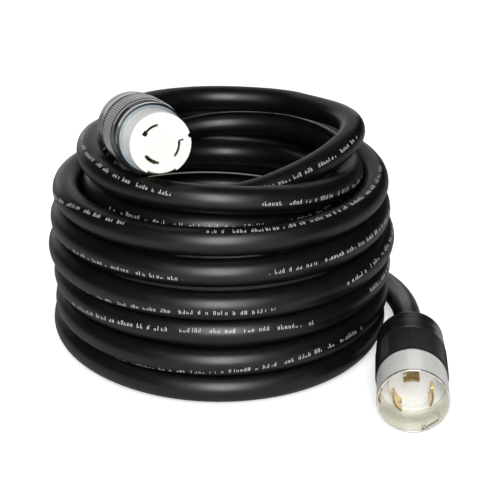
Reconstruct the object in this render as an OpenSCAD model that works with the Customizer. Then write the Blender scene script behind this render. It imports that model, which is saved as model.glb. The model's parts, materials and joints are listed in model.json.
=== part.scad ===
// Coiled four-conductor shore power cord: a heavy rubber cable wound into a
// loose stack of turns, a male locking plug with a steel shroud on the floor
// beside it and a female locking connector lying on the topmost turn.
// Millimetres, +Z up, origin on the floor under the middle of the whole.

/* [Cable] */
// Outer diameter of the rubber jacket
cable_d = 25; // [23:0.2:25.2]
// Height gained from one stacked turn to the next
turn_rise = 25.76; // [25.5:0.02:26.2]
// Backward lean of the stack over one turn
turn_lean = 6.6; // [0:0.2:8]
// Diameter of one insulated conductor
wire_d = 6.2; // [4:0.1:6.8]

/* [Both ends] */
// Bore of the rear cap round the cable
entry_clear = 0.9; // [0.4:0.1:1.5]
// Depth of the fine grip ribs
rib_depth = 0.6; // [0.3:0.1:1]
// Number of grip ribs round each end
rib_count = 118; // [60:2:150]
// Radius of the contacts' pitch line
contact_r = 16.5; // [15:0.5:18]
// Thickness of a blade
blade_t = 1.8; // [1.2:0.1:2.2]
// Angle that a blade covers
blade_span = 46; // [30:1:56]
// Clearance between parts that slide or turn
run_clear = 0.3; // [0.2:0.05:0.5]
// Clearance between parts that are only seated
seat_clear = 0.1; // [0.05:0.05:0.3]

/* [Plug] */
// Length from the rear face to the mouth
plug_len = 106.5; // [100:0.5:115]
// Diameter over the grip ribs
plug_d = 63.5; // [62:0.5:66]
// Diameter of the bright shroud
shroud_d = 61; // [59:0.2:61]
// Wall of the shroud
shroud_wall = 1.2; // [0.8:0.1:1.5]
// Bright length of the shroud in front of the housing
shroud_show = 35.5; // [30:0.5:40]
// Depth of the contact face inside the mouth
recess = 26; // [22:0.5:30]
// Length of the plug's rear cap
plug_cap_len = 13; // [10:0.5:15]

/* [Connector] */
// Length from the rear face to the contact face
conn_len = 107.3; // [100:0.5:115]
// Diameter over the grip ribs
conn_d = 67.5; // [66:0.5:70]
// Diameter of the white core
core_d = 54.5; // [53:0.5:56]
// Length of core that stands out of the collar
core_show = 28; // [24:0.5:32]
// Length of the connector's rear cap
conn_cap_len = 9; // [8:0.5:12]

/* [Cord clamps] */
// Width of the jaws along the cable
jaw_len = 11; // [8:0.5:12]
// Distance of a clamp screw from the cable's axis
clamp_screw_x = 16.5; // [16.2:0.1:17.5]
// Diameter of a clamp screw
clamp_screw_d = 3.8; // [3:0.1:4]
// Diameter of an assembly screw
long_screw_d = 3.8; // [3:0.1:4]

/* [Hidden] */
$fn = 96;

// ---- cable route -------------------------------------------------------
// the swept section is a hexagon, or a twelve-sided tube on the leads, both
// with flats above and below at this height from the cable's middle
cable_r = cable_d / 2;
flat_h = 0.944 * cable_r;
coil_x = -17;
coil_y = 3.5;
neat_turns = 6;
rings_per_turn = 24;
// reach of the neat turns from the coil's axis, bottom turn first
turn_reach = [149, 153, 153, 159, 154, 152];
// middle of the loose turns on top
loose_y = coil_y + turn_lean * (neat_turns - 1);
// reach of the first turn at each eighth of a turn, where the turn above is
// still climbing beside it
first_reach = [176, 177, 175, 170, 156, 149];
// reach and height of the loose turns at each eighth of a turn: turn 7 rides
// high on the left, turn 8 drops inside it, and turn 9 rises over both
loose = [
    [151, 146], [150, 152], [152, 159], [142, 168], [128, 176], [127, 171.5], [126, 169.5], [127, 160.5],
    [126, 154], [125, 160], [124.5, 158], [122, 149], [123, 145], [123, 144], [124, 143], [112, 136],
    [104, 138], [99, 136], [97, 135], [94.5, 140], [95.5, 151], [97, 155], [98, 158], [101, 171],
    [127, 190], [127, 187], [126, 185]];
// the coil's solid runs between these rings, counted from the right-hand side
first_ring = 2;
last_ring = 219;

// the smooth cubic through b and c
function through(a, b, c, d, f) =
    (2 * b + (c - a) * f + (2 * a - 5 * b + 4 * c - d) * pow(f, 2)
    + (3 * b - a - 3 * c + d) * pow(f, 3)) / 2;
function eased(f) = f <= 0 ? 0 : f >= 1 ? 1 : f * f * (3 - 2 * f);
function between(list, at) =
    let (last = len(list) - 1, i = min(floor(max(at, 0)), last), j = min(i + 1, last))
    list[i] + (list[j] - list[i]) * (max(at, 0) - floor(max(at, 0)));
// turns climbed at u turns: each climb starts in front on the right and takes
// 265 degrees, so the cable lies level across the front
climb_start = 285 / 360;
climb_part = 265 / 360;
function level(u) =
    let (k = floor(u - climb_start + 1e-6))
    max(0, k + eased((u - climb_start - k) / climb_part));
function neat_z(u) = flat_h + turn_rise * level(u);
function neat_reach(i) =
    i < len(first_reach) ? first_reach[max(i, 0)] : between(turn_reach, i / 8 - 0.75);
function station(i) =
    i < 8 * neat_turns ? [neat_reach(i), neat_z(i / 8)]
    : loose[min(i - 8 * neat_turns, len(loose) - 1)];
function coil_point(u) =
    let (i = floor(u * 8 + 1e-6), f = u * 8 - i,
        s = [for (k = [-1:2]) station(i + k)],
        smooth = through(s[0], s[1], s[2], s[3], f),
        z = u < neat_turns - 0.25 ? neat_z(u) : smooth[1],
        lean = turn_lean * min((z - flat_h) / turn_rise, neat_turns - 1))
    [coil_x + smooth[0] * cos(360 * u), coil_y + lean + smooth[0] * sin(360 * u), z];

function unit(v) = v / norm(v);
function coil_heading(u) = unit(coil_point(u + 0.01) - coil_point(u - 0.01));
first_u = first_ring / rings_per_turn;
last_u = last_ring / rings_per_turn;
// the coil starts level on the floor and ends as it climbs
first_heading = unit([coil_heading(first_u)[0], coil_heading(first_u)[1], 0]);
last_heading = coil_heading(last_u);
coil_start = coil_point(first_u) - cable_d * first_heading;
coil_end = coil_point(last_u) + cable_d * last_heading;
coil_line = concat([coil_start],
    [for (i = [first_ring:last_ring]) coil_point(i / rings_per_turn)], [coil_end]);

// routes of the two free leads, chosen by hand
plug_rear = [158.5, -93.5, plug_d / 2];
plug_yaw = 6;
plug_back = [sin(plug_yaw), cos(plug_yaw), 0];
plug_route = [plug_rear, [163, -44, 29], [164, 2, 21.5], [159, 42, 15.5], coil_start];
conn_rear = [-101, 13.5, 203.5];
conn_yaw = 19.5;
conn_pitch = 8.6;
conn_back = [-sin(conn_yaw) * cos(conn_pitch), cos(conn_yaw) * cos(conn_pitch), -sin(conn_pitch)];
conn_route = [coil_end, [6, 161.5, 186], [-44, 159.5, 187], [-86, 136.5, 189.5],
    [-112, 92.5, 193.5], [-111.8, 44.5, 198.5], conn_rear];

// ---- sweeping ----------------------------------------------------------
function headings(line, first, last) = [for (i = [0:len(line) - 1])
    i == 0 ? first : i == len(line) - 1 ? last
    : unit(unit(line[i + 1] - line[i]) + unit(line[i] - line[i - 1]))];
function side_of(t) = unit(cross(t, [0, 0, 1]));
function up_of(t) = cross(side_of(t), t);
function ring(p, t, n) = [for (k = [0:n - 1])
    let (a = 90 + 180 / n + 360 * k / n)
    p + flat_h / cos(180 / n) * (cos(a) * side_of(t) + sin(a) * up_of(t))];
module sweep_cable(line, first, last, n) {
    ways = headings(line, first, last);
    m = len(line);
    points = [for (i = [0:m - 1]) each ring(line[i], ways[i], n)];
    walls = [for (i = [0:m - 2], k = [0:n - 1])
        let (a = i * n + k, b = i * n + (k + 1) % n)
        each [[a, b, a + n], [b, b + n, a + n]]];
    end = (m - 1) * n;
    caps = [for (k = [1:n - 2]) each [[0, k + 1, k], [end, end + k, end + k + 1]]];
    polyhedron(points, concat(walls, caps));
}

// gap between two sections at the same angle, over the flats of the first
function flat_gap(p, t, q) = max([for (k = [0:5])
    let (n = cos(30 + 60 * k) * side_of(t) + sin(30 + 60 * k) * up_of(t))
    min([for (v = q) (v - p) * n]) - flat_h]);
function least_gap() =
    let (line = coil_line, ways = headings(line, first_heading, last_heading), m = len(line))
    min([for (i = [0:m - 1], j = [i + rings_per_turn:rings_per_turn:m - 1])
        if (norm(line[j] - line[i]) < 1.6 * cable_d)
        max(flat_gap(line[i], ways[i], ring(line[j], ways[j], 6)),
            flat_gap(line[j], ways[j], ring(line[i], ways[i], 6)))]);

module cable_coil() {
    echo(least_gap_of_the_coil_to_itself = least_gap());
    color("#1d1d1f") sweep_cable(coil_line, first_heading, last_heading, 6);
}
module cable_plug_lead() {
    color("#1d1d1f") sweep_cable(plug_route, plug_back, first_heading, 12);
}
module cable_connector_lead() {
    color("#1d1d1f") sweep_cable(conn_route, last_heading, -conn_back, 12);
}

// ---- parts that both ends share ------------------------------------------
// each end is drawn along its own +Z, from the rear face at 0 to the front
module at_plug() {
    translate(plug_rear) rotate([90, 0, -plug_yaw]) children();
}
module at_connector() {
    translate(conn_rear) rotate([90 - conn_pitch, 0, conn_yaw]) children();
}
module disc(d, z0, z1) {
    translate([0, 0, z0]) cylinder(d = d, h = z1 - z0);
}
module tube(outer, inner, z0, z1) {
    translate([0, 0, z0]) difference() {
        cylinder(r = outer, h = z1 - z0);
        translate([0, 0, -1]) cylinder(r = inner, h = z1 - z0 + 2);
    }
}
// a curved wall between two radii and two heights, centred on angle mid
module arc_wall(inner, outer, mid, span, z0, z1) {
    rotate([0, 0, mid - span / 2]) rotate_extrude(angle = span)
        translate([inner, z0]) square([outer - inner, z1 - z0]);
}
module ribbed(d, z0, z1) {
    step = 360 / rib_count;
    translate([0, 0, z0]) linear_extrude(z1 - z0)
        polygon([for (k = [0:rib_count - 1]) each [
            d / 2 * [cos(k * step), sin(k * step)],
            (d / 2 - rib_depth) * [cos((k + 0.5) * step), sin((k + 0.5) * step)]]]);
}
// a bar across a screw's head that leaves its slot
slot_w = 1;
module driver_slot(d, depth) {
    translate([-slot_w / 2, -d, -depth]) cube([slot_w, 2 * d, 2 * depth]);
}

// the two long screws hold the contact insert from the rear cap
long_head_d = 6.4;
long_head_h = 2.4;
long_head_sink = 3;
long_grip = 8;
module long_screw_holes(x, z1) {
    for (s = [-1, 1]) translate([s * x, 0, -1]) {
        cylinder(d = long_screw_d + 2 * run_clear, h = z1 + 2);
        cylinder(d = long_head_d + 2 * run_clear, h = long_head_sink + 1);
    }
}
module long_screws(x, z1) {
    head_z = long_head_sink - seat_clear;
    for (s = [-1, 1]) translate([s * x, 0, 0]) {
        disc(long_screw_d, head_z, z1);
        difference() {
            disc(long_head_d, head_z - long_head_h, head_z);
            translate([0, 0, head_z - long_head_h]) driver_slot(long_head_d, slot_w);
        }
    }
}
module screw_sockets(x, z0) {
    for (s = [-1, 1]) translate([s * x, 0, z0 - 1])
        cylinder(d = long_screw_d + 2 * seat_clear, h = 2 + long_grip + seat_clear);
}

// rear cap: a rounded disc with a spigot inside the housing
spigot_len = 4;
spigot_wall = 7;
cap_edge = 2;
grommet_wall = 3;
grommet_z = 4;
cable_entry_r = cable_r + entry_clear;
module rear_cap(d, bore, len, screw_x) {
    difference() {
        union() {
            rotate_extrude() union() {
                translate([0, cap_edge]) square([d / 2, len - cap_edge]);
                square([d / 2 - cap_edge, len]);
                intersection() {
                    translate([d / 2 - cap_edge, cap_edge]) circle(r = cap_edge);
                    square([d / 2, len]);
                }
            }
            tube(bore - seat_clear, bore - spigot_wall, len, len + spigot_len);
        }
        disc(2 * cable_entry_r, -1, len + spigot_len + 1);
        disc(2 * (cable_entry_r + grommet_wall), grommet_z, len + spigot_len + 1);
        long_screw_holes(screw_x, len + spigot_len);
    }
}
// the rubber grommet is squeezed round the jacket in the cap's counterbore
module grommet(len) {
    color("#161616") tube(cable_entry_r + grommet_wall - seat_clear, cable_r + seat_clear,
        grommet_z + seat_clear, len - seat_clear);
}
module jacket_end(len) {
    color("#1d1d1f") disc(cable_d, 0, len);
}

// cord clamp: a fixed base over the cable and a saddle under it that two
// screws draw up; the screws are turned from below
clamp_behind = 0.5;
clamp_lug_x = 22;
clamp_lug_y = 13;
clamp_mid_x = 12;
clamp_mid_y = 18;
clamp_gap = 2;
clamp_head_d = 6.8;
clamp_head_h = 2.6;
clamp_thread_end = 11;
jacket_beyond_clamp = 2;
module clamp_outline(bore, screw_x, top) {
    intersection() {
        difference() {
            union() {
                translate([-clamp_lug_x, clamp_gap / 2])
                    square([2 * clamp_lug_x, clamp_lug_y - clamp_gap / 2]);
                translate([-clamp_mid_x, clamp_gap / 2]) square([2 * clamp_mid_x, top]);
            }
            circle(r = cable_r + run_clear);
            for (s = [-1, 1]) translate([s * screw_x, 0]) circle(d = long_screw_d + 2 * run_clear);
        }
        circle(r = bore - seat_clear);
    }
}
// holes across an end, centred on the jaws, from its middle line downwards
module screw_ways(d, z, from, to) {
    for (s = [-1, 1]) translate([s * clamp_screw_x, -from, z + jaw_len / 2]) rotate([90, 0, 0])
        cylinder(d = d, h = to - from);
}
module clamp_base(bore, screw_x, z) {
    color("#2b2b2d") difference() {
        translate([0, 0, z]) linear_extrude(jaw_len) clamp_outline(bore, screw_x, bore);
        screw_ways(clamp_screw_d + 2 * run_clear, z, -2 * clamp_lug_y, 2 * clamp_lug_y);
    }
}
module clamp_saddle(bore, screw_x, z) {
    color("#2b2b2d") difference() {
        translate([0, 0, z]) linear_extrude(jaw_len) mirror([0, 1])
            clamp_outline(bore, screw_x, clamp_mid_y);
        screw_ways(clamp_screw_d + 2 * run_clear, z, -2 * clamp_lug_y, 2 * clamp_lug_y);
    }
}
module clamp_screw(side, z) {
    head_y = clamp_lug_y + run_clear;
    color("silver") translate([side * clamp_screw_x, 0, z + jaw_len / 2]) rotate([90, 0, 0]) {
        disc(clamp_screw_d, -clamp_thread_end, head_y + clamp_head_h / 4);
        difference() {
            disc(clamp_head_d, head_y, head_y + clamp_head_h);
            translate([0, 0, head_y + clamp_head_h]) driver_slot(clamp_head_d, clamp_head_h / 2);
        }
    }
}

// terminals: a brass block behind each contact, a screw in its outer side
block_w = 9;
block_t = 8.6;
block_len = 12;
block_web = 3;
wire_screw_d = 4;
wire_screw_head_d = 6.4;
wire_screw_head_h = 1.6;
module terminal_block(angle, z) {
    rotate([0, 0, angle]) difference() {
        translate([contact_r - block_t / 2, -block_w / 2, z]) cube([block_t, block_w, block_len]);
        translate([contact_r, 0, 0]) disc(wire_d + 2 * seat_clear, z - 1, z + block_len - block_web);
        translate([contact_r, 0, z + block_len / 2]) rotate([0, 90, 0])
            cylinder(d = wire_screw_d + 2 * seat_clear, h = block_t);
    }
}
// step between the sheets of a formed strip where one lies on the next
lap = 0.1;
// a tab from a ground terminal's block out to radius r
block_tab_t = 2;
module block_tab(angle, r, z) {
    inner = contact_r + block_t / 2 - 0.5;
    rotate([0, 0, angle]) translate([inner, -block_w / 2, z]) cube([r - inner, block_w, block_tab_t]);
}
module terminal_screw(angle, z) {
    tip = contact_r + wire_d / 2 + run_clear;
    head = contact_r + block_t / 2 + run_clear;
    rotate([0, 0, angle]) translate([0, 0, z + block_len / 2]) rotate([0, 90, 0]) {
        disc(wire_screw_d, tip, head + wire_screw_head_h / 4);
        difference() {
            disc(wire_screw_head_d, head, head + wire_screw_head_h);
            translate([0, 0, head + wire_screw_head_h]) driver_slot(wire_screw_head_d, slot_w);
        }
    }
}
// an insulated conductor from the jacket's end out into its terminal
wire_start_r = 7.6;
wire_in_block = 6;
wire_knee_d = wire_d + 0.2;
module wire(angle, z0, z1) {
    straight = (z1 - z0) / 4;
    run = z1 - z0 - 2 * straight;
    step_out = contact_r - wire_start_r;
    rotate([0, 0, angle]) {
        translate([wire_start_r, 0, z0]) {
            cylinder(d = wire_d, h = straight);
            translate([0, 0, straight]) sphere(d = wire_knee_d);
            translate([0, 0, straight]) rotate([0, atan2(step_out, run), 0])
                cylinder(d = wire_d, h = norm([step_out, run]));
        }
        translate([contact_r, 0, z1 - straight]) {
            sphere(d = wire_knee_d);
            cylinder(d = wire_d, h = straight + wire_in_block);
        }
    }
}

// three contacts stand at these angles from the first
contact_step = [0, 117, 257];

// ---- plug ------------------------------------------------------------------
plug_roll = 98;
plug_band_d = plug_d - 1.5;
plug_wall = 2.8;
plug_cap_step = 1.4;
plug_cap_d = plug_band_d - plug_cap_step;
plug_front = plug_len - shroud_show;
plug_rib_start = 31;
plug_seam = 0.8;
bore_step = 2.3;
plug_bore = min(plug_band_d / 2 - plug_wall, shroud_d / 2 - bore_step);
plug_screw_x = plug_bore - long_head_d / 2;
plug_jaw_z = plug_cap_len + spigot_len + clamp_behind;
plug_jacket = plug_jaw_z + jaw_len + jacket_beyond_clamp;
neck_cover = 1.4;
neck_step = 0.9;
shroud_neck_d = min(plug_band_d - 2 * neck_cover, shroud_d - 2 * neck_step);
shroud_neck_len = 9;
insert_face = plug_len - recess;
insert_back = plug_front - shroud_neck_len;
plug_block_z = insert_back - block_len;
blade_sunk = 7;
blade_tip = plug_len - blade_sunk;
function plug_angle(k) = plug_roll + contact_step[k];
plug_ground_angle = plug_roll + (contact_step[1] + contact_step[2]) / 2;

module plug_housing() {
    lip = 2;
    groove = 1;
    color("#141416") at_plug() difference() {
        union() {
            disc(plug_band_d, plug_cap_len + plug_seam, plug_front - lip);
            disc(plug_cap_d - 1, plug_cap_len, plug_cap_len + lip);
            ribbed(plug_d, plug_rib_start, plug_front - groove);
            disc(plug_band_d, plug_front - lip, plug_front - seat_clear);
        }
        disc(2 * plug_bore, plug_cap_len - 1, plug_len);
        disc(shroud_neck_d + 2 * seat_clear, insert_back - seat_clear, plug_len);
        screw_ways(clamp_head_d + 2 * run_clear, plug_jaw_z, 0, plug_d);
    }
}
module plug_rear_cap() {
    color("#19191b") at_plug() rear_cap(plug_cap_d, plug_bore, plug_cap_len, plug_screw_x);
}
// drawn steel shroud: a neck inside the housing and a wider bright skirt
tab_angle = -50;
tab_w = 12;
tab_len = 9;
tab_sunk = 13;
tab_z = plug_len - tab_sunk;
tab_rise = 0.6;
module plug_shroud() {
    neck = shroud_neck_d / 2;
    out = shroud_d / 2;
    shoulder = plug_front + shroud_wall;
    color("#d5d6d8") at_plug() difference() {
        union() {
            rotate_extrude() polygon([
                [neck - shroud_wall, insert_back], [neck, insert_back], [neck, plug_front],
                [out, plug_front], [out, plug_len], [out - shroud_wall, plug_len],
                [out - shroud_wall, shoulder], [neck - shroud_wall, shoulder]]);
            rotate([0, 0, tab_angle]) translate([out - shroud_wall - tab_rise, -tab_w / 2, tab_z])
                cube([shroud_wall, tab_w, tab_len]);
        }
        across_rivet() cylinder(d = rivet_d, h = plug_d);
    }
}
// a hollow rivet by the mouth of the shroud
rivet_angle = -68;
rivet_sunk = 4;
rivet_z = plug_len - rivet_sunk;
rivet_d = 3.6;
rivet_bore = 1.8;
rivet_lip = 0.9;
module across_rivet() {
    rotate([0, 0, rivet_angle]) translate([0, 0, rivet_z]) rotate([0, 90, 0]) children();
}
module plug_shroud_rivet() {
    inner = shroud_d / 2 - shroud_wall;
    color("#a9aaad") at_plug() across_rivet() difference() {
        union() {
            disc(rivet_d + 2 * rivet_lip, inner - 1, inner - 0.2 - seat_clear);
            disc(rivet_d - 2 * seat_clear, inner - 0.5, inner + shroud_wall + seat_clear);
        }
        cylinder(d = rivet_bore, h = plug_d);
    }
}
// white insert: a round boss that carries the blades stands in its front
boss_wall = 3.1;
boss_h = 6;
module plug_insert() {
    boss_r = contact_r + blade_t / 2 + boss_wall;
    boss_foot = insert_face - boss_h;
    shoulder = plug_front + shroud_wall + seat_clear;
    strip_slot = strip_r - strip_jog - strip_t - seat_clear;
    slot_in = contact_r - blade_t / 2 - seat_clear;
    slot_out = contact_r + blade_t / 2 + seat_clear;
    color("#ecebe6") at_plug() difference() {
        union() {
            disc(shroud_neck_d - 2 * (shroud_wall + seat_clear), insert_back + seat_clear, boss_foot);
            disc(shroud_d - 2 * (shroud_wall + seat_clear), shoulder, boss_foot);
            disc(2 * boss_r, insert_back + seat_clear + 1, insert_face);
        }
        for (k = [0:2])
            arc_wall(slot_in, slot_out, plug_angle(k), blade_span + 1, insert_back - 1, insert_face + 1);
        arc_wall(strip_slot, 2 * strip_r, strip_angle, strip_span + 2, insert_back - 1, insert_face + 1);
        screw_sockets(plug_screw_x, insert_back);
    }
}
blade_notch_back = 13;
blade_notch_z = blade_tip - blade_notch_back;
blade_notch_len = 6;
blade_notch_span = 20;
blade_seat = 2;
module plug_blade(k) {
    edge = plug_angle(k) + blade_span / 2;
    color("#c9a24c") at_plug() {
        difference() {
            arc_wall(contact_r - blade_t / 2, contact_r + blade_t / 2, plug_angle(k), blade_span,
                insert_back - blade_seat, blade_tip);
            arc_wall(contact_r - blade_t, contact_r + blade_t, edge, blade_notch_span,
                blade_notch_z, blade_notch_z + blade_notch_len);
        }
        terminal_block(plug_angle(k), plug_block_z);
    }
}
module plug_blade_x() plug_blade(0);
module plug_blade_y() plug_blade(1);
module plug_blade_w() plug_blade(2);
// the ground strip lies on the shroud's inner wall and runs round behind the
// insert to its own terminal
strip_t = 0.9;
strip_r = shroud_d / 2 - shroud_wall - seat_clear;
strip_span = 16;
strip_angle = 193;
strip_gap = 0.6;
strip_lift = 2;
strip_jog = strip_r - plug_bore + strip_gap;
strip_show = 20;
strip_band = 5;
module plug_ground_strip() {
    tail = strip_r - strip_jog;
    bend_z = plug_front + shroud_wall + strip_lift;
    band_z = plug_block_z + block_tab_t / 2;
    sweep = plug_ground_angle - strip_angle;
    color("#b5693a") at_plug() {
        arc_wall(strip_r - strip_t, strip_r, strip_angle, strip_span, bend_z, bend_z + strip_show);
        arc_wall(tail - strip_t + lap, strip_r - lap, strip_angle, strip_span - 1,
            bend_z + lap, bend_z + strip_t);
        arc_wall(tail - strip_t, tail, strip_angle, strip_span, band_z + lap, bend_z + strip_t + lap);
        arc_wall(tail - strip_t - lap, tail + lap, strip_angle + sweep / 2, sweep + strip_span + 1,
            band_z, band_z + strip_band);
        block_tab(plug_ground_angle, tail - strip_t / 2, plug_block_z);
        terminal_block(plug_ground_angle, plug_block_z);
    }
}
module plug_terminal_screws() {
    color("silver") at_plug() {
        for (k = [0:2]) terminal_screw(plug_angle(k), plug_block_z);
        terminal_screw(plug_ground_angle, plug_block_z);
    }
}
module plug_wire(angle, tint) {
    color(tint) at_plug() wire(angle, plug_jacket, plug_block_z);
}
module plug_wire_black() plug_wire(plug_angle(0), "#202020");
module plug_wire_red() plug_wire(plug_angle(1), "#a02020");
module plug_wire_white() plug_wire(plug_angle(2), "#e8e8e8");
module plug_wire_green() plug_wire(plug_ground_angle, "#1e7a3a");
module plug_jacket_end() at_plug() jacket_end(plug_jacket);
module plug_grommet() at_plug() grommet(plug_cap_len);
module plug_clamp_base() at_plug() clamp_base(plug_bore, plug_screw_x, plug_jaw_z);
module plug_clamp_saddle() at_plug() clamp_saddle(plug_bore, plug_screw_x, plug_jaw_z);
module plug_clamp_screw_left() at_plug() clamp_screw(-1, plug_jaw_z);
module plug_clamp_screw_right() at_plug() clamp_screw(1, plug_jaw_z);
module plug_assembly_screws() {
    color("silver") at_plug() long_screws(plug_screw_x, insert_back + long_grip);
}

// ---- connector ---------------------------------------------------------------
// the connector faces the other way, so its contacts run round mirrored
conn_roll = 236;
conn_band_d = conn_d - 1.5;
conn_wall = 3;
conn_cap_step = 0.4;
conn_cap_d = conn_band_d - conn_cap_step;
conn_seam = 1;
conn_rib_start = 24;
conn_rib_gap = 12.3;
conn_bore = conn_band_d / 2 - conn_wall;
conn_screw_in = 4;
conn_screw_x = conn_bore - conn_screw_in;
conn_jaw_z = conn_cap_len + spigot_len + clamp_behind;
conn_jacket = conn_jaw_z + jaw_len + jacket_beyond_clamp;
collar_len = 7;
collar_wall = 4.85;
core_step = 0.4;
core_web = 1;
collar_front = conn_len - core_show;
collar_back = collar_front - collar_len;
collar_bore = core_d / 2 - core_step + seat_clear;
core_seat_len = 14.3;
core_back = collar_back - core_seat_len;
conn_block_z = core_back - block_len - 2;
pocket_half = 1.75;
lip_t = 2;
notch_mid = 268;
function conn_angle(k) = conn_roll - contact_step[k];
conn_ground_angle = conn_roll - (contact_step[2] + 360) / 2 + 360;

module connector_housing() {
    taper = 6;
    color("#141416") at_connector() difference() {
        union() {
            disc(conn_band_d, conn_cap_len + conn_seam, collar_back - taper);
            disc(conn_cap_d - 1.4, conn_cap_len, conn_cap_len + 2 * conn_seam);
            ribbed(conn_d, conn_rib_start, collar_back - conn_rib_gap);
            translate([0, 0, collar_back - taper])
                cylinder(d1 = conn_band_d, d2 = conn_band_d - 2, h = taper - seat_clear);
        }
        disc(2 * conn_bore, conn_cap_len - 1, conn_len);
        screw_ways(clamp_head_d + 2 * run_clear, conn_jaw_z, 0, conn_d);
    }
}
module connector_rear_cap() {
    color("#8d8f92") at_connector() rear_cap(conn_cap_d, conn_bore, conn_cap_len, conn_screw_x);
}
module connector_collar() {
    color("#101012") at_connector()
        tube(collar_bore + collar_wall, collar_bore, collar_back, collar_front);
}
// white core, a little thinner inside the collar: three arc slots over wider
// pockets, a wide notch for the ground rail below and a key groove on the right
key_angle = 10;
key_r = 2.2;
module connector_core() {
    slot = blade_t / 2 + run_clear;
    lip_z = conn_len - lip_t;
    color("#f2f1ee") at_connector() difference() {
        union() {
            disc(2 * (conn_bore - seat_clear), core_back, collar_back - seat_clear);
            disc(core_d - 2 * core_web, core_back, conn_len);
            disc(core_d - 2 * core_step, collar_back - seat_clear, collar_front + core_step);
            disc(core_d, collar_front + seat_clear, conn_len);
        }
        for (k = [0:2]) {
            arc_wall(contact_r - pocket_half, contact_r + pocket_half, conn_angle(k), blade_span + 6,
                core_back - 1, lip_z);
            arc_wall(contact_r - slot, contact_r + slot, conn_angle(k), blade_span + 4,
                lip_z - 1, conn_len + 1);
        }
        arc_wall(rail_r - rail_t - 2 * seat_clear, core_d, notch_mid, rail_span + 4,
            core_back - 1, conn_len + 1);
        rotate([0, 0, key_angle]) translate([core_d / 2, 0, 0]) disc(2 * key_r, collar_front, conn_len + 1);
        screw_sockets(conn_screw_x, core_back);
    }
}
// a sprung contact: two leaves joined at the back, ahead of its block
leaf_t = 0.6;
leaf_joint = 6;
module connector_contact(k) {
    inner = contact_r - pocket_half + seat_clear;
    outer = contact_r + pocket_half - seat_clear;
    tip = conn_len - lip_t - 1;
    span = blade_span + 2;
    color("#c9a24c") at_connector() {
        difference() {
            arc_wall(inner, outer, conn_angle(k), span, core_back, tip);
            arc_wall(inner + leaf_t, outer - leaf_t, conn_angle(k), span + 2, core_back + leaf_joint,
                tip + 1);
        }
        arc_wall(inner + leaf_t, outer - leaf_t, conn_angle(k), span / 2,
            conn_block_z + block_len - 1, core_back + 1);
        terminal_block(conn_angle(k), conn_block_z);
    }
}
module connector_contact_x() connector_contact(0);
module connector_contact_y() connector_contact(1);
module connector_contact_w() connector_contact(2);
// the ground rail lies in the wide notch in the core's underside
rail_t = 1.2;
rail_sunk = 0.6;
rail_r = core_d / 2 - rail_sunk;
rail_span = 54;
rail_band = 4;
rail_past = 20;
rail_drop = 1.5;
module connector_ground_contact() {
    tail_z = conn_block_z - rail_drop;
    sweep = conn_ground_angle - notch_mid;
    color("#c9a24c") at_connector() {
        arc_wall(rail_r - rail_t, rail_r, notch_mid, rail_span, core_back, conn_len - lip_t - 1);
        arc_wall(rail_r - rail_t + lap, rail_r - lap, notch_mid, rail_span / 2, tail_z, core_back + rail_t);
        arc_wall(rail_r - rail_t - lap, rail_r + lap, notch_mid + sweep / 2, sweep + rail_past,
            tail_z - lap, tail_z + rail_band);
        block_tab(conn_ground_angle, rail_r - rail_t / 2, conn_block_z);
        terminal_block(conn_ground_angle, conn_block_z);
    }
}
module connector_terminal_screws() {
    color("silver") at_connector() {
        for (k = [0:2]) terminal_screw(conn_angle(k), conn_block_z);
        terminal_screw(conn_ground_angle, conn_block_z);
    }
}
module connector_wire(angle, tint) {
    color(tint) at_connector() wire(angle, conn_jacket, conn_block_z);
}
module connector_wire_black() connector_wire(conn_angle(0), "#202020");
module connector_wire_red() connector_wire(conn_angle(1), "#a02020");
module connector_wire_white() connector_wire(conn_angle(2), "#e8e8e8");
module connector_wire_green() connector_wire(conn_ground_angle, "#1e7a3a");
module connector_jacket_end() at_connector() jacket_end(conn_jacket);
module connector_grommet() at_connector() grommet(conn_cap_len);
module connector_clamp_base() at_connector() clamp_base(conn_bore, conn_screw_x, conn_jaw_z);
module connector_clamp_saddle() at_connector() clamp_saddle(conn_bore, conn_screw_x, conn_jaw_z);
module connector_clamp_screw_left() at_connector() clamp_screw(-1, conn_jaw_z);
module connector_clamp_screw_right() at_connector() clamp_screw(1, conn_jaw_z);
module connector_assembly_screws() {
    color("silver") at_connector() long_screws(conn_screw_x, core_back + long_grip);
}

cable_coil();
cable_plug_lead();
cable_connector_lead();
plug_housing();
plug_rear_cap();
plug_shroud();
plug_shroud_rivet();
plug_insert();
plug_blade_x();
plug_blade_y();
plug_blade_w();
plug_ground_strip();
plug_terminal_screws();
plug_wire_black();
plug_wire_red();
plug_wire_white();
plug_wire_green();
plug_jacket_end();
plug_grommet();
plug_clamp_base();
plug_clamp_saddle();
plug_clamp_screw_left();
plug_clamp_screw_right();
plug_assembly_screws();
connector_housing();
connector_rear_cap();
connector_collar();
connector_core();
connector_contact_x();
connector_contact_y();
connector_contact_w();
connector_ground_contact();
connector_terminal_screws();
connector_wire_black();
connector_wire_red();
connector_wire_white();
connector_wire_green();
connector_jacket_end();
connector_grommet();
connector_clamp_base();
connector_clamp_saddle();
connector_clamp_screw_left();
connector_clamp_screw_right();
connector_assembly_screws();
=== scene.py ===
# A coiled shore power cord: heavy rubber cable in a loose stack of turns, a
# male locking plug with a bright steel shroud on the floor in front, and a
# female locking connector with a white face lying on the topmost turn.
# Lengths are in metres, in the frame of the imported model.
import json
import math

import bmesh
import bpy
from mathutils import Matrix, Vector


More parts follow.
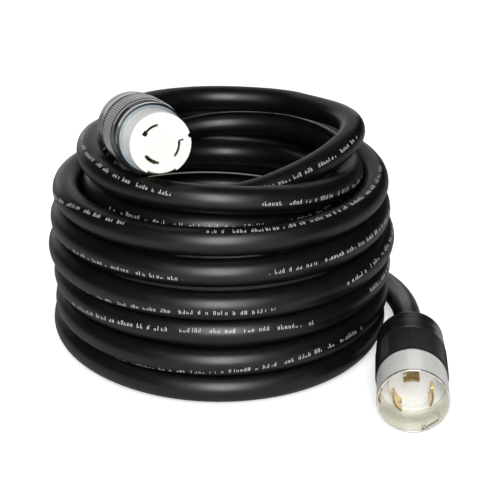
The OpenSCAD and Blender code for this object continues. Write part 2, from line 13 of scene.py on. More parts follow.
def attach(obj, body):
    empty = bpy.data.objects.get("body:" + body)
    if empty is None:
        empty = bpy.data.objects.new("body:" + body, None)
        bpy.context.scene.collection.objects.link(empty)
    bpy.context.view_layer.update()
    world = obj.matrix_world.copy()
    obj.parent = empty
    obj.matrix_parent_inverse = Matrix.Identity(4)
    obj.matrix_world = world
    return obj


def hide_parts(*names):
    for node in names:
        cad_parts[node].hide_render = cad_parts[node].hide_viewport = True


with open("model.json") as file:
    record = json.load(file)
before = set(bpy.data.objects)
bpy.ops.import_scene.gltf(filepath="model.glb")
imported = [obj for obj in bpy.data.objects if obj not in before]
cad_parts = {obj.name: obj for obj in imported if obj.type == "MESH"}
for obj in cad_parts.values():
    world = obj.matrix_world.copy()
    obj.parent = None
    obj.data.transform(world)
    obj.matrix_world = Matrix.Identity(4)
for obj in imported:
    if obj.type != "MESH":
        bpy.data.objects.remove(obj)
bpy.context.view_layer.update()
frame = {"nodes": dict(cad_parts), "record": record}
mm = 0.001

# ---- camera ---------------------------------------------------------------
# A long lens a metre away and half a metre up, looking down on the coil.
camera_data = bpy.data.cameras.new("camera")
camera_data.lens = 79.56
camera_data.sensor_width = 36
look_down = 24.437
camera = bpy.data.objects.new("camera", camera_data)
camera.location = (0.011, -0.98715, 0.52895)
camera.rotation_euler = (math.radians(90 - look_down), 0, 0)
bpy.context.scene.collection.objects.link(camera)
bpy.context.scene.camera = camera


# ---- cable route ----------------------------------------------------------
# The cable is one length from the plug's rear cap to the connector's: a short
# lead, six neat turns, three loose ones on top and a second lead.
cable_d = 25 * mm
cable_r = cable_d / 2
coil_x = -17 * mm
coil_y = 3.5 * mm
turn_rise = 25.62 * mm
turn_lean = 6.6 * mm
neat_turns = 6
tiny = 1e-6
rings_per_turn = 24
first_ring = 2
last_ring = 219
# reach of each neat turn, then of the lead-in by eighths of a turn
turn_reach = [149, 153, 153, 159, 154, 152]
first_reach = [176, 177, 175, 170, 156, 149]
# reach and height of the loose turns by eighths of a turn
loose_turns = [
    (151, 146), (150, 152), (152, 159), (142, 168), (128, 176), (127, 171.5), (126, 169.5), (127, 160.5),
    (126, 154), (125, 160), (124.5, 158), (122, 149), (123, 145), (123, 144), (124, 143), (112, 136),
    (104, 138), (99, 136), (97, 135), (94.5, 140), (95.5, 151), (97, 155), (98, 158), (101, 171),
    (127, 190), (127, 187), (126, 185),
]
# where in a turn the neat stack steps up, and for how much of the turn
climb_start = 285 / 360
climb_part = 265 / 360


def through(a, b, c, d, f):
    """The smooth cubic through b and c, at f of the way from b to c."""
    return (
        2 * b + (c - a) * f + (2 * a - 5 * b + 4 * c - d) * f**2 + (3 * b - a - 3 * c + d) * f**3
    ) / 2


def turns_climbed(u):
    """How many turns the neat stack has risen after u turns."""
    k = math.floor(u - climb_start + tiny)
    f = min(max((u - climb_start - k) / climb_part, 0), 1)
    return max(0, k + f * f * (3 - 2 * f))


def neat_height(u):
    """Height of the cable's middle in the neat stack."""
    return cable_r + turn_rise * turns_climbed(u)


def station(i):
    """Reach and height of the cable's middle at an eighth of a turn."""
    if i >= 8 * neat_turns:
        reach, height = loose_turns[min(i - 8 * neat_turns, len(loose_turns) - 1)]
        return reach * mm, height * mm
    if i < len(first_reach):
        return first_reach[max(i, 0)] * mm, neat_height(i / 8)
    at = max(i / 8 - 0.75, 0)
    low = min(math.floor(at), len(turn_reach) - 1)
    high = min(low + 1, len(turn_reach) - 1)
    reach = turn_reach[low] + (turn_reach[high] - turn_reach[low]) * (at - math.floor(at))
    return reach * mm, neat_height(i / 8)


def coil_point(u):
    """The cable's middle after u turns."""
    i = math.floor(u * 8 + tiny)
    f = u * 8 - i
    near = [station(i + k) for k in (-1, 0, 1, 2)]
    reach = through(*[s[0] for s in near], f)
    height = neat_height(u) if u < neat_turns - 0.25 else through(*[s[1] for s in near], f)
    lean = turn_lean * min((height - cable_r) / turn_rise, neat_turns - 1)
    angle = 2 * math.pi * u
    return Vector((coil_x + reach * math.cos(angle), coil_y + lean + reach * math.sin(angle), height))


def free_run(points, first_way, last_way, step):
    """A smooth run through given points, set off and ended along two ways."""
    gaps = [(b - a).length for a, b in zip(points, points[1:])]
    ways = [first_way.normalized()]
    for i in range(1, len(points) - 1):
        before = (points[i] - points[i - 1]) / gaps[i - 1]
        after = (points[i + 1] - points[i]) / gaps[i]
        ways.append((before * gaps[i] + after * gaps[i - 1]) / (gaps[i] + gaps[i - 1]))
    ways.append(last_way.normalized())
    run = []
    for i, gap in enumerate(gaps):
        count = max(2, round(gap / step))
        for k in range(count):
            f = k / count
            run.append(
                points[i] * (1 + 2 * f) * (1 - f) ** 2
                + ways[i] * gap * f * (1 - f) ** 2
                + points[i + 1] * f * f * (3 - 2 * f)
                - ways[i + 1] * gap * f * f * (1 - f)
            )
    return run


plug_rear = Vector((158.5, -93.5, 31.75)) * mm
plug_yaw = math.radians(-6)
plug_pitch = math.radians(90)
plug_turn = Matrix.Rotation(plug_yaw, 4, "Z") @ Matrix.Rotation(plug_pitch, 4, "X")
plug_place = Matrix.Translation(plug_rear) @ plug_turn
connector_rear = Vector((-101, 13.5, 203.5)) * mm
connector_yaw = math.radians(19.5)
connector_pitch = math.radians(90 - 8.6)
connector_turn = Matrix.Rotation(connector_yaw, 4, "Z") @ Matrix.Rotation(connector_pitch, 4, "X")
connector_place = Matrix.Translation(connector_rear) @ connector_turn

# four visible rings to each ring of the solid
fine = 4
coil = [
    coil_point(i / (rings_per_turn * fine))
    for i in range(first_ring * fine, last_ring * fine + 1)
]
coil_in = (coil[1] - coil[0]).normalized()
coil_out = (coil[-1] - coil[-2]).normalized()
plug_lead = [
    plug_rear,
    Vector((163, -44, 29)) * mm,
    Vector((164, 2, 21.5)) * mm,
    Vector((159, 42, 15.5)) * mm,
    coil[0] - cable_d * coil_in,
    coil[0],
]
connector_lead = [
    coil[-1],
    coil[-1] + cable_d * coil_out,
    Vector((6, 161.5, 186)) * mm,
    Vector((-44, 159.5, 187)) * mm,
    Vector((-86, 136.5, 189.5)) * mm,
    Vector((-112, 92.5, 193.5)) * mm,
    Vector((-111.8, 44.5, 198.5)) * mm,
    connector_rear,
]
ring_step = 5 * mm
route = (
    free_run(plug_lead, plug_turn @ Vector((0, 0, -1)), coil_in, ring_step)
    + coil[:-1]
    + free_run(connector_lead, coil_out, connector_turn @ Vector((0, 0, 1)), ring_step)
    + [connector_rear]
)


# ---- shader helpers ---------------------------------------------------------
# A finish is one Principled shader with the nodes that feed it. A value that
# varies over the surface takes part in plain arithmetic.
class Value:
    """A shader socket: arithmetic on it adds Math nodes."""

    def __init__(self, finish, socket):
        self.finish = finish
        self.socket = socket

    def math(self, operation, *values):
        return self.finish.add("ShaderNodeMath", {"operation": operation}, values)

    def __add__(self, other):
        return self.math("ADD", self, other)

    def __radd__(self, other):
        return self.math("ADD", other, self)

    def __sub__(self, other):
        return self.math("SUBTRACT", self, other)

    def __rsub__(self, other):
        return self.math("SUBTRACT", other, self)

    def __mul__(self, other):
        return self.math("MULTIPLY", self, other)

    def __rmul__(self, other):
        return self.math("MULTIPLY", other, self)

    def __truediv__(self, other):
        return self.math("DIVIDE", self, other)

    def __gt__(self, other):
        return self.math("GREATER_THAN", self, other)

    def __lt__(self, other):
        return self.math("LESS_THAN", self, other)

    def __abs__(self):
        return self.math("ABSOLUTE", self)

    def at_least(self, low):
        return self.math("MAXIMUM", self, low)

    def at_most(self, high):
        return self.math("MINIMUM", self, high)

    def floor(self):
        return self.math("FLOOR", self)

    def fract(self):
        return self.math("FRACT", self)

    def smooth(self, low, high):
        """0 below low, 1 above high, and a soft step between them."""
        settings = {"interpolation_type": "SMOOTHSTEP"}
        return self.finish.add("ShaderNodeMapRange", settings, {0: self, 1: low, 2: high})


class Finish:
    """A named material: constants on the shader's sockets, then what varies."""

    def __init__(self, name, **constants):
        self.material = bpy.data.materials.new(name)
        self.material.use_nodes = True
        self.nodes = self.material.node_tree.nodes
        self.links = self.material.node_tree.links
        self.shader = self.nodes["Principled BSDF"]
        for socket, constant in constants.items():
            self.shader.inputs[socket.replace("_", " ")].default_value = constant

    def add(self, kind, settings, values, output=0):
        """Any node: its settings first, then the values or links of its sockets."""
        node = self.nodes.new(kind)
        for name, setting in settings.items():
            setattr(node, name, setting)
        pairs = values.items() if isinstance(values, dict) else enumerate(values)
        for socket, value in pairs:
            self.set(node.inputs[socket], value)
        return Value(self, node.outputs[output])

    def set(self, socket, value):
        """Links a varying value to a socket, or gives it a constant."""
        if isinstance(value, Value):
            self.links.new(value.socket, socket)
        elif socket.type == "RGBA" and len(value) == 3:
            socket.default_value = (*value, 1)
        else:
            socket.default_value = value

    def feed(self, socket, value):
        """Sets one socket of the finish's own shader."""
        self.set(self.shader.inputs[socket], value)

    def place(self):
        """Object coordinates."""
        return self.add("ShaderNodeTexCoord", {}, {}, "Object")

    def part_of(self, vector, axis):
        """One number of a vector: 0, 1 or 2 for its x, y or z."""
        return self.add("ShaderNodeSeparateXYZ", {}, [vector], axis)

    def vector(self, x, y):
        return self.add("ShaderNodeCombineXYZ", {}, [x, y, 0])

    def length(self, vector):
        return self.add("ShaderNodeVectorMath", {"operation": "LENGTH"}, [vector], 1)

    def stretched(self, matrix, scale):
        """Object coordinates along a piece's own axes, stretched by scale."""
        turn = matrix.to_3x3().inverted().to_euler()
        shift = matrix.inverted().translation
        turned = self.add(
            "ShaderNodeMapping", {}, {"Vector": self.place(), "Rotation": turn, "Location": shift}
        )
        return self.add("ShaderNodeMapping", {}, {"Vector": turned, "Scale": scale})

    def noise(self, vector, scale, detail, roughness):
        sockets = {"Vector": vector, "Scale": scale, "Detail": detail, "Roughness": roughness}
        return self.add("ShaderNodeTexNoise", {}, sockets)

    def blend(self, factor, low, high):
        """A colour that goes from low to high with factor."""
        sockets = {0: factor, 6: low, 7: high}
        return self.add("ShaderNodeMix", {"data_type": "RGBA"}, sockets, 2)

    def bump(self, height, strength, distance):
        """Raises the surface by distance where height is 1."""
        sockets = {"Strength": strength, "Distance": distance, "Height": height}
        self.feed("Normal", self.add("ShaderNodeBump", {}, sockets))


# ---- cable ------------------------------------------------------------------
# Extruded black rubber jacket with a dusty satin skin and a line of plain tick
# marks printed in blocks along it. Swept as one tube along the whole route.
cable_sides = 40
jacket_r = cable_r + 0.25 * mm
tick_pitch = 3.1 * mm
tick_width = 0.62 * mm
tick_height = 4 * mm
block_share = 0.77
# where along the cable a printed block ends, and which block it is
print_ends = [
    (0.757, -4), (1.97, 0), (2.875, 3), (3.823, 6), (4.734, 9), (5.643, 12), (6.586, 15), (8.196, 20),
    (8.51, 21),
]
# how far the printed line stands above the cable's outer side, in degrees
print_rolls = [
    (1.70, -60), (1.809, -26), (1.864, -8), (1.919, 12), (1.968, 18), (2.58, -30), (2.652, -10),
    (2.709, 13), (2.779, 33), (2.836, 30), (2.875, 15), (2.947, 30), (3.61, -50), (3.65, -40),
    (3.705, -16), (3.763, -3), (3.808, -8), (3.823, 0), (3.895, 19), (3.95, 40), (4.60, -25),
    (4.631, -10), (4.676, -6), (4.734, -5), (4.803, 13), (4.869, 19), (4.93, 20), (5.50, -10),
    (5.519, 0), (5.588, 52), (5.643, 60), (5.712, 70), (5.777, 66), (5.816, 70), (5.863, 78),
    (6.465, 58), (6.503, 62), (6.547, 46), (6.586, 28), (6.656, 8), (6.723, 4), (8.05, 36), (8.15, 30),
    (8.193, 37),
]

jacket = Finish("jacket_rubber", Specular_IOR_Level=0.75)
printed = jacket.add("ShaderNodeUVMap", {"uv_map": "print"}, {})
block_at = jacket.part_of(printed, 0)
above_line = jacket.part_of(printed, 1)
run = jacket.add("ShaderNodeUVMap", {"uv_map": "cable"}, {})
along = jacket.part_of(run, 0)
around = jacket.part_of(run, 1)
dust = jacket.noise(jacket.place(), 38, 4, 0.6)
smear = jacket.noise(jacket.vector(along * 16, around * 5), 1.0, 4, 0.62)
streak = jacket.noise(jacket.vector(along * 70, around * 26), 1.0, 3, 0.6)
grain = jacket.noise(jacket.place(), 2600, 2, 0.6)
cell = (along / tick_pitch).floor()
in_cell = (along / tick_pitch).fract() * tick_pitch


def chance(salt):
    """A steady random number for each numbered cell."""
    seed = {"Vector": jacket.vector(cell, salt)}
    return jacket.add("ShaderNodeTexWhiteNoise", {"noise_dimensions": "2D"}, seed)


def tick(middle, salt):
    """A thin tick that stands on the line's foot, in one of three heights. Each
    salt gives random numbers of its own."""
    low = chance(salt) > 0.45
    lowest = chance(salt + 1) > 0.6
    printed_here = chance(salt + 2) > 0.1
    top = tick_height * (0.5 - 0.3 * low - 0.3 * lowest)
    across = abs(in_cell - middle) < tick_width / 2
    return across * (above_line < top) * (above_line > -0.5 * tick_height) * printed_here


ticks = tick(0.55 * mm, 2.5) + tick(1.75 * mm, 7.5)
in_word = ((cell * 0.117).fract() > 0.13) * ((cell * 0.213).fract() > 0.16)
marks = ticks * in_word * (block_at.fract() > 1 - block_share)
worn_marks = marks * (0.65 + 0.35 * dust.smooth(0.35, 0.6))
dark_skin = (0.0022, 0.002, 0.0016)
dusty_skin = (0.0045, 0.0041, 0.0034)
rubbed_skin = (0.012, 0.011, 0.0095)
ink = (0.62, 0.64, 0.68)
skin = jacket.blend(dust.smooth(0.35, 0.75), dark_skin, dusty_skin)
skin = jacket.blend(smear.smooth(0.55, 0.8) * 0.3, skin, rubbed_skin)
jacket.feed("Base Color", jacket.blend(worn_marks, skin, ink))
jacket.feed("Roughness", 0.22 + 0.12 * smear + 0.14 * streak + 0.06 * dust)
jacket.bump(grain * 0.25 + smear + streak * 0.35, 0.35, 0.3 * mm)


def link(obj):
    """Puts an object in the scene."""
    bpy.context.scene.collection.objects.link(obj)
    return obj


def table(pairs, at):
    """Reads a table of (place, value) pairs, straight between its lines."""
    for (low, first), (high, second) in zip(pairs, pairs[1:]):
        if at <= high or high == pairs[-1][0]:
            return first + (second - first) * (at - low) / (high - low)


def sweep(name, points, radius, sides):
    """A round tube along points. Its UV map "cable" holds metres along it and
    turns round it, counted from the outer side up over the top. Its UV map
    "print" holds the printed block's number and metres above the printed line."""
    curve = bpy.data.curves.new(name, "CURVE")
    curve.dimensions = "3D"
    curve.twist_mode = "Z_UP"
    curve.bevel_depth = radius
    curve.bevel_resolution = (sides - 4) // 4
    spline = curve.splines.new("POLY")
    spline.points.add(len(points) - 1)
    for spot, point in zip(spline.points, points):
        spot.co = (*point, 1)
    shape = link(bpy.data.objects.new(name + "_line", curve))
    mesh = bpy.data.meshes.new_from_object(shape)
    mesh.name = name
    bpy.data.objects.remove(shape)
    tube = bmesh.new()
    tube.from_mesh(mesh)
    tube.verts.ensure_lookup_table()
    per_ring = len(tube.verts) // len(points)
    lengths = [0]
    for a, b in zip(points, points[1:]):
        lengths.append(lengths[-1] + (b - a).length)
    for old in list(tube.loops.layers.uv):
        tube.loops.layers.uv.remove(old)
    uv = tube.loops.layers.uv.new("cable")
    line = tube.loops.layers.uv.new("print")
    blocks = [table(print_ends, length) for length in lengths]
    rolls = [table(print_rolls, max(length, print_rolls[0][0])) / 360 for length in lengths]
    turned = []
    for vert in tube.verts:
        i = vert.index // per_ring
        way = points[min(i + 1, len(points) - 1)] - points[max(i - 1, 0)]
        side = way.cross(Vector((0, 0, 1))).normalized()
        up = side.cross(way).normalized()
        off = vert.co - points[i]
        turned.append(math.atan2(off.dot(up), off.dot(side)) / (2 * math.pi) % 1)
    for face in tube.faces:
        turns = [turned[loop.vert.index] for loop in face.loops]
        if max(turns) - min(turns) > 0.5:
            turns = [turn + (turn < 0.5) for turn in turns]
        near_line = (min(turns) - rolls[face.loops[0].vert.index // per_ring] + 0.5) // 1
        for loop, turn in zip(face.loops, turns):
            i = loop.vert.index // per_ring
            loop[uv].uv = (lengths[i], turn)
            loop[line].uv = (blocks[i], (turn - rolls[i] - near_line) * 2 * math.pi * radius)
        face.smooth = True
    holes = [edge for edge in tube.edges if edge.is_boundary]
    bmesh.ops.holes_fill(tube, edges=holes, sides=sides * 2)
    bmesh.ops.recalc_face_normals(tube, faces=tube.faces)
    tube.to_mesh(mesh)
    tube.free()
    return link(bpy.data.objects.new(name, mesh))


cable = sweep("cable", route, jacket_r, cable_sides)
cable.data.materials.clear()
cable.data.materials.append(jacket.material)
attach(cable, "cord")
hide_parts("cable_coil", "cable_plug_lead", "cable_connector_lead")


# ---- turned parts -------------------------------------------------------------
# Moulded and drawn parts of both ends are round: an outline is spun about the
# part's own axis, which runs from the rear face to the front.
crease = math.radians(35)
corner = 0.3
corner_steps = 4
# how deep the groove is at each step from one rib's middle to the next
rib_profile = (0, 0.25, 0.85, 1, 1, 1, 0.85, 0.25)
rib_steps = len(rib_profile)
rib_depth = 0.85 * mm
rib_foot = 31.2 * mm


def rounded(outline):
    """An outline of (reach, height) in millimetres with its corners rounded. A
    third number on a point is its own radius."""
    smooth = []
    count = len(outline)
    for i, spot in enumerate(outline):
        here = Vector(spot[:2])
        bend = spot[2] if len(spot) > 2 else corner
        before = Vector(outline[i - 1][:2]) - here
        after = Vector(outline[(i + 1) % count][:2]) - here
        bend = min(bend, 0.45 * before.length, 0.45 * after.length)
        if bend <= 0:
            smooth.append(here)
            continue
        start = here + before.normalized() * bend
        end = here + after.normalized() * bend
        for k in range(corner_steps + 1):
            f = k / corner_steps
            smooth.append(start * (1 - f) ** 2 + here * 2 * f * (1 - f) + end * f * f)
    return smooth


def spun(name, outline, place, material, steps, shape):
    """A closed outline spun round its axis into a solid, which shape then alters."""
    part = bmesh.new()
    ring = [part.verts.new((spot.x * mm, 0, spot.y * mm)) for spot in rounded(outline)]
    edges = [part.edges.new((a, b)) for a, b in zip(ring, ring[1:] + ring[:1])]
    bmesh.ops.spin(
        part, geom=ring + edges, axis=(0, 0, 1), cent=(0, 0, 0), angle=2 * math.pi,
        steps=steps, use_merge=True,
    )
    bmesh.ops.remove_doubles(part, verts=part.verts, dist=0.002 * mm)
    bmesh.ops.dissolve_degenerate(part, dist=0.001 * mm, edges=part.edges)
    shape(part)
    return finished(name, part, material, place)


def finished(name, part, material, place=Matrix.Identity(4)):
    """Puts a bmesh where it belongs and makes it a piece with one material."""
    bmesh.ops.transform(part, matrix=place, verts=part.verts)
    bmesh.ops.recalc_face_normals(part, faces=part.faces)
    for face in part.faces:
        face.smooth = True
    for edge in part.edges:
        edge.smooth = len(edge.link_faces) != 2 or edge.calc_face_angle() < crease
    mesh = bpy.data.meshes.new(name)
    part.to_mesh(mesh)
    part.free()
    mesh.materials.append(material)
    return link(bpy.data.objects.new(name, mesh))


def grip_ribs(count, low, high):
    """Presses a groove between every two ribs into a spun wall."""

    def shape(part):
        for vert in part.verts:
            reach = Vector(vert.co.xy).length
            if not low * mm < vert.co.z < high * mm or reach < rib_foot:
                continue
            turn = math.atan2(vert.co.y, vert.co.x) / (2 * math.pi)
            step = round(turn * count * rib_steps) % rib_steps
            lean = 1 - rib_depth * rib_profile[step] / reach
            vert.co.x *= lean
            vert.co.y *= lean

    return shape


# ---- plug: housing ----------------------------------------------------------
# Glossy black moulded nylon. The shell has a band of fine grip ribs in front
# of a smooth shoulder, and a groove where the rear cap meets it.
plug_ribs = 118

black_nylon = Finish("black_nylon", Specular_IOR_Level=0.5, Coat_Weight=0.8, Coat_Roughness=0.12)
haze = black_nylon.noise(black_nylon.place(), 55, 4, 0.6)
peel = black_nylon.noise(black_nylon.place(), 900, 2, 0.5)
deep_black = (0.008, 0.008, 0.009)
hazy_black = (0.016, 0.015, 0.015)
black_nylon.feed("Base Color", black_nylon.blend(haze.smooth(0.3, 0.75), deep_black, hazy_black))
black_nylon.feed("Roughness", 0.24 + 0.16 * haze)
black_nylon.bump(peel, 0.12, 0.1 * mm)

plug_housing = spun(
    "plug_shell",
    [
        (28.2, 13), (29.3, 13), (29.3, 14.6), (30.9, 14.8, 0.5), (31.0, 20), (31.0, 30.4),
        (31.5, 31.2, 0.2), (31.75, 32.2, 0.2), (31.75, 50), (31.75, 68.6, 0.2), (31.4, 69.8, 0.3),
        (31.0, 70.9, 0.3), (29.7, 70.9), (29.7, 62), (28.2, 62),
    ],
    plug_place,
    black_nylon.material,
    plug_ribs * rib_steps,
    grip_ribs(plug_ribs, 31.5, 69.3),
)
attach(plug_housing, "cord")
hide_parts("plug_housing")

# ---- plug: shroud -----------------------------------------------------------
# Drawn steel, bright nickel plate, with a rolled lip and fine marks round it
# from the drawing. A shallow pressed pad and a hollow rivet are near its lip.
bright_steel = Finish("bright_steel", Metallic=0.2)
round_marks = bright_steel.noise(bright_steel.stretched(plug_place, (20, 20, 2600)), 1.0, 3, 0.6)
cloud = bright_steel.noise(bright_steel.place(), 70, 3, 0.5)
dull_plate = (0.92, 0.92, 0.88)
clean_plate = (0.97, 0.97, 0.94)
bright_steel.feed("Base Color", bright_steel.blend(cloud.smooth(0.3, 0.7), dull_plate, clean_plate))
bright_steel.feed("Roughness", 0.14 + 0.1 * cloud + 0.06 * round_marks)
bright_steel.bump(round_marks, 0.08, 0.05 * mm)

shroud_in = 29.3
shroud_out = 30.5
shroud_steps = 256
lip_low = 103.8
pad_turn = math.radians(-50)
pad_wide = 12
pad_low = 93.5
pad_high = 102.5
pad_rise = 0.9
pad_edge = 0.8


def pressed_pad(part):
    """Presses the pad inwards, both faces of the wall together."""
    for vert in part.verts:
        reach = Vector(vert.co.xy).length
        turn = math.atan2(vert.co.y, vert.co.x) - pad_turn
        turn = (turn + math.pi) % (2 * math.pi) - math.pi
        height = vert.co.z / mm
        inside = min(pad_wide / 2 - abs(turn) * reach / mm, height - pad_low, pad_high - height)
        lean = 1 - pad_rise * mm * min(max(inside / pad_edge + 0.5, 0), 1) / reach
        vert.co.x *= lean
        vert.co.y *= lean


pad_rows = [92 + 0.75 * k for k in range(16)]
plug_shroud = spun(
    "plug_shroud_shell",
    [
        (28.4, 62), (29.6, 62), (29.6, 70.9, 0.2), (30.5, 71, 0.5), (30.5, 72.5, 0),
        *[(shroud_out, row, 0) for row in pad_rows],
        (30.5, 104.1, 0.2), (30, 104.6, 0.2), (30.5, 105.1, 0.2), (30.75, 105.9, 0.3),
        (30.5, 106.5, 0.4), (29.4, 106.5, 0.5), (shroud_in, 105.6, 0.3),
        *[(shroud_in, row, 0) for row in reversed(pad_rows)],
        (shroud_in, 72.4, 0.5), (28.4, 72.2, 0.3),
    ],
    plug_place,
    bright_steel.material,
    shroud_steps,
    pressed_pad,
)
# the inner wall and the outside of the lip have a darker, warmer plate: painted
# shade inside the shroud and a painted dark line round the lip
shade_painted_steel = Finish("shade_painted_steel", Metallic=0.85)
inner_cloud = shade_painted_steel.noise(shade_painted_steel.stretched(plug_place, (60, 60, 300)), 1.0, 3, 0.6)
shade_painted_plate = (0.78, 0.77, 0.68)
pale_plate = (0.86, 0.85, 0.76)
shade_painted_steel.feed("Base Color", shade_painted_steel.blend(inner_cloud, shade_painted_plate, pale_plate))
shade_painted_steel.feed("Roughness", 0.24 + 0.08 * inner_cloud)
plug_shroud.data.materials.append(shade_painted_steel.material)
plug_axis = plug_turn.to_3x3() @ Vector((0, 0, 1))
# faces inside the shroud and on the lip's outside take the painted shade
for face in plug_shroud.data.polygons:
    off = face.center - plug_rear
    along_axis = off.dot(plug_axis)
    outward = face.normal.dot((off - plug_axis * along_axis).normalized())
    if outward < -0.6 or (along_axis > lip_low * mm and outward > 0):
        face.material_index = 1
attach(plug_shroud, "cord")
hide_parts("plug_shroud")

# ---- everything inside the ends -------------------------------------------------
# Each keeps its CAD shape and gets a finish with its own mottle: moulded
# nylon, brass with a rolled grain, zinc plate, rubber and wire insulation.
def mottled(name, low, high, rough, spread, scale, grain, depth, **constants):
    """A finish between two close colours, with a fine grain in its surface."""
    finish = Finish(name, **constants)
    cloud = finish.noise(finish.place(), scale, 4, 0.6)
    fine_grain = finish.noise(finish.place(), grain, 2, 0.6)
    finish.feed("Base Color", finish.blend(cloud.smooth(0.3, 0.7), low, high))
    finish.feed("Roughness", rough + spread * cloud)
    finish.bump(fine_grain, 0.2, depth * mm)
    return finish


# the collar is blue-black, and its step inside is painted a paler bluish grey:
# a painted reflection
collar_nylon = Finish("collar_nylon", Specular_IOR_Level=0.6, Coat_Weight=1.0, Coat_Roughness=0.05)
from_axis = collar_nylon.length(collar_nylon.stretched(connector_place, (1, 1, 0)))
swirl = collar_nylon.noise(collar_nylon.place(), 120, 3, 0.5)
# painted reflection: a pale bluish grey inside the rim
painted_reflection = collar_nylon.blend(swirl, (0.2, 0.25, 0.28), (0.38, 0.44, 0.46))
blue_black = (0.006, 0.009, 0.016)
rim = from_axis.smooth(29.7 * mm, 30.1 * mm)
collar_nylon.feed("Base Color", collar_nylon.blend(rim, painted_reflection, blue_black))
collar_nylon.feed("Roughness", 0.08 + 0.1 * swirl)

# slot: its two colours, roughness and how far that spreads, scale of the mottle
# and of the grain, and depth of the grain in millimetres
mottles = {
    "white_nylon": ((0.8, 0.8, 0.77), (0.88, 0.88, 0.86), 0.3, 0.12, 70, 1400, 0.08),
    "clamp_nylon": ((0.03, 0.03, 0.033), (0.06, 0.06, 0.065), 0.4, 0.2, 90, 1400, 0.1),
    "grommet_rubber": ((0.012, 0.012, 0.012), (0.03, 0.03, 0.03), 0.5, 0.2, 90, 1500, 0.2),
    "plated_screws": ((0.5, 0.51, 0.53), (0.7, 0.71, 0.73), 0.22, 0.2, 300, 2500, 0.05),
    "brass": ((0.62, 0.44, 0.17), (0.86, 0.68, 0.36), 0.16, 0.22, 180, 2200, 0.06),
    "copper_strip": ((0.62, 0.32, 0.2), (0.82, 0.5, 0.34), 0.22, 0.22, 180, 2200, 0.06),
    "wire_black": ((0.012, 0.012, 0.012), (0.03, 0.03, 0.03), 0.35, 0.15, 90, 1200, 0.1),
    "wire_red": ((0.36, 0.02, 0.015), (0.46, 0.04, 0.03), 0.35, 0.15, 90, 1200, 0.1),
    "wire_white": ((0.76, 0.76, 0.72), (0.84, 0.84, 0.81), 0.35, 0.15, 90, 1200, 0.1),
    "wire_green": ((0.02, 0.2, 0.06), (0.04, 0.28, 0.1), 0.35, 0.15, 90, 1200, 0.1),
}
metals = ("plated_screws", "brass", "copper_strip")
finishes = {
    slot: mottled(slot, *row, Metallic=float(slot in metals)) for slot, row in mottles.items()
}
finishes["jacket_rubber"] = jacket
finishes["black_nylon"] = black_nylon
finishes["bright_steel"] = bright_steel
finishes["collar_nylon"] = collar_nylon
for part in frame["record"]["subparts"]:
    node_mesh = frame["nodes"][part["node"]].data
    node_mesh.materials.clear()
    node_mesh.materials.append(finishes[part["material_slot"]].material)


# ---- connector: housing -----------------------------------------------------
# Black moulded nylon like the plug's shell but wider, with its band of ribs
# between a groove for the rear cap and a smooth front.
connector_ribs = 96
connector_housing = spun(
    "connector_shell",
    [
        (30, 9), (31.6, 9), (31.6, 10.8), (32.9, 11, 0.5), (33.0, 18), (33.0, 23.6),
        (33.5, 24.4, 0.2), (33.75, 25.4, 0.2), (33.75, 40), (33.75, 58.6, 0.2), (33.4, 59.8, 0.3),
        (33.0, 60.6, 0.3), (33.0, 66.3, 0.4), (32.0, 72.2, 0.5), (30, 72.2),
    ],
    connector_place,
    black_nylon.material,
    connector_ribs * rib_steps,
    grip_ribs(connector_ribs, 24.7, 59.3),
)
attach(connector_housing, "cord")
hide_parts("connector_housing")

# ---- connector: face --------------------------------------------------------
# The white core with its three slots. One slot has a square well at one end, one
# has a side notch, and the third is wide, for the blades' different feet. They
# are cut from the CAD core, and their walls are painted near-black: painted shade.
well_top = 110
degrees_a_step = 4


def ring_cutter(part, near, far, start, stop, foot):
    """Adds a solid piece of a ring, angles in degrees, to a bmesh."""
    count = max(2, round((stop - start) / degrees_a_step))
    outline = []
    for reach, turns in ((near, range(count + 1)), (far, range(count, -1, -1))):
        for k in turns:
            turn = math.radians(start + (stop - start) * k / count)
            outline.append((reach * math.cos(turn) * mm, reach * math.sin(turn) * mm, foot * mm))
    face = part.faces.new([part.verts.new(spot) for spot in outline])
    lifted = bmesh.ops.extrude_face_region(part, geom=[face])["geom"]
    verts = [item for item in lifted if isinstance(item, bmesh.types.BMVert)]
    bmesh.ops.translate(part, vec=(0, 0, (well_top - foot) * mm), verts=verts)


wells = bmesh.new()
ring_cutter(wells, 14.5, 18.6, 135, 149, 88)
ring_cutter(wells, 16, 20.6, 3, 7, 96)
ring_cutter(wells, 14.8, 18.2, 216, 250, 88)
# the wells' walls take the painted shade
for face in wells.faces:
    face.material_index = 1
shade = mottled(
    "slot_shade", (0.008, 0.007, 0.006), (0.02, 0.018, 0.015), 0.6, 0.2, 200, 1400, 0.1
)
cutter = finished("wells", wells, shade.material, connector_place)
core = bmesh.new()
core.from_mesh(frame["nodes"]["connector_core"].data)
bmesh.ops.remove_doubles(core, verts=core.verts, dist=0.001 * mm)
whole = finished("core", core, shade.material)
cut = whole.modifiers.new("wells", "BOOLEAN")
cut.solver = "EXACT"
cut.object = cutter
core = bmesh.new()
core.from_object(whole, bpy.context.evaluated_depsgraph_get())
bpy.data.objects.remove(cutter)
bpy.data.objects.remove(whole)
connector_face = finished("connector_face", core, finishes["white_nylon"].material)
connector_face.data.materials.append(shade.material)
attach(connector_face, "cord")
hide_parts("connector_core")


# ---- cord -------------------------------------------------------------------
# The cable leaves the plug, which lies on the floor, and carries the connector
# with everything in it at its far end. Here only the cable's length along the
# route is summed, and it is not used.
sum((after - before).length for before, after in zip(route, route[1:]))
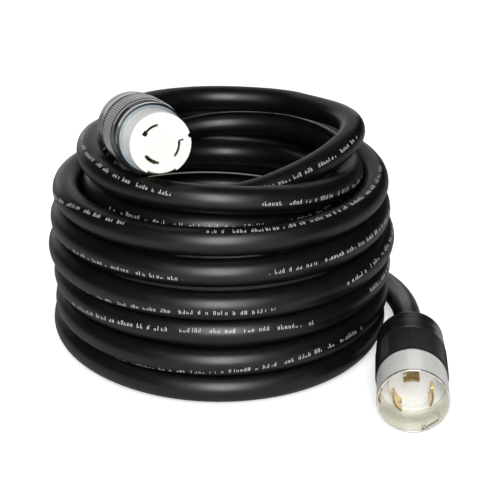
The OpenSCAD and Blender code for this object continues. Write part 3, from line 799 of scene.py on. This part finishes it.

# ---- floor ----------------------------------------------------------------------
# A plain pale floor that is lifted to white for the camera and keeps the coil's
# shadow. The shadow runs straight back from the coil, away from the front lamp,
# and a painted shadow darkens the floor's colour there, also where it shows
# between two turns.
floor_half = 6
shadow_end = 0.42
shadow_inner = 0.125
shadow_outer = 0.165
floor_mesh = bmesh.new()
bmesh.ops.create_grid(floor_mesh, x_segments=1, y_segments=1, size=floor_half)
floor_finish = Finish("floor", Roughness=0.9, Emission_Strength=1.0)
floor = finished("floor", floor_mesh, floor_finish.material)
in_view = floor_finish.add("ShaderNodeLightPath", {}, {}, "Is Camera Ray")
mirrored = floor_finish.add("ShaderNodeLightPath", {}, {}, "Is Glossy Ray")
beside = floor_finish.part_of(floor_finish.place(), 0) - coil_x
floor_y = floor_finish.part_of(floor_finish.place(), 1)
behind = (floor_y - shadow_end).at_least(0)
ahead = (floor_y - coil_y).at_most(0)
from_shadow = floor_finish.length(floor_finish.vector(beside, behind + ahead))
open_floor = from_shadow.smooth(shadow_inner, shadow_outer)
# painted shadow: the floor's own colour is darker in the zone behind and under the coil
painted_shadow_colour = floor_finish.blend(open_floor, (0.35, 0.35, 0.35), (0.9, 0.9, 0.9))
floor_finish.feed("Base Color", floor_finish.blend(mirrored, painted_shadow_colour, (0.5, 0.5, 0.5)))
lifted = floor_finish.blend(in_view * open_floor, (0, 0, 0), (0.55, 0.55, 0.55))
floor_finish.feed("Emission Color", lifted)


# ---- light ------------------------------------------------------------------------
# A tall soft lamp over the camera draws the streak down the front of the coil,
# white panels low behind it and above it give the rims their sheen, and a pale
# room fills the rest. The camera sees the room as white.
world = bpy.data.worlds.new("room")
world.use_nodes = True
bpy.context.scene.world = world
room = world.node_tree
rays = room.nodes.new("ShaderNodeLightPath")


def glow(strength):
    """White light of the world."""
    light = room.nodes.new("ShaderNodeBackground")
    light.inputs["Color"].default_value = (1, 1, 1, 1)
    light.inputs["Strength"].default_value = strength
    return light.outputs[0]


def either(ray, usual, for_ray):
    """One light for a kind of ray and another for all others."""
    choice = room.nodes.new("ShaderNodeMixShader")
    room.links.new(rays.outputs[ray], choice.inputs[0])
    room.links.new(usual, choice.inputs[1])
    room.links.new(for_ray, choice.inputs[2])
    return choice.outputs[0]


room_glow = 0.4
mirrored_glow = 0.015
seen_glow = 1
unseen = either("Is Glossy Ray", glow(room_glow), glow(mirrored_glow))
lit = either("Is Camera Ray", unseen, glow(seen_glow))
room.links.new(lit, room.nodes["World Output"].inputs[0])


def lamp(name, spot, aim, width, height, power):
    """A white panel that shines towards aim and isn't seen itself."""
    data = bpy.data.lights.new(name, "AREA")
    data.shape = "RECTANGLE"
    data.size = width
    data.size_y = height
    data.energy = power
    lamp_object = link(bpy.data.objects.new(name, data))
    lamp_object.location = spot
    lamp_object.rotation_euler = (Vector(aim) - Vector(spot)).to_track_quat("-Z", "Y").to_euler()
    lamp_object.visible_camera = False


coil_middle = (-0.017, 0.02, 0.1)
over_coil = (-0.017, 0.02, 0.3)
lamp("front_lamp", (0, -1.75, 1.15), coil_middle, 0.55, 1.75, 32)
lamp("back_panel", (-0.5, 2.2, 0.42), over_coil, 2.8, 0.8, 7)
lamp("top_lamp", (-0.1, 1.7, 1.5), coil_middle, 2.4, 0.8, 3.5)

bpy.context.scene.view_settings.view_transform = "Standard"
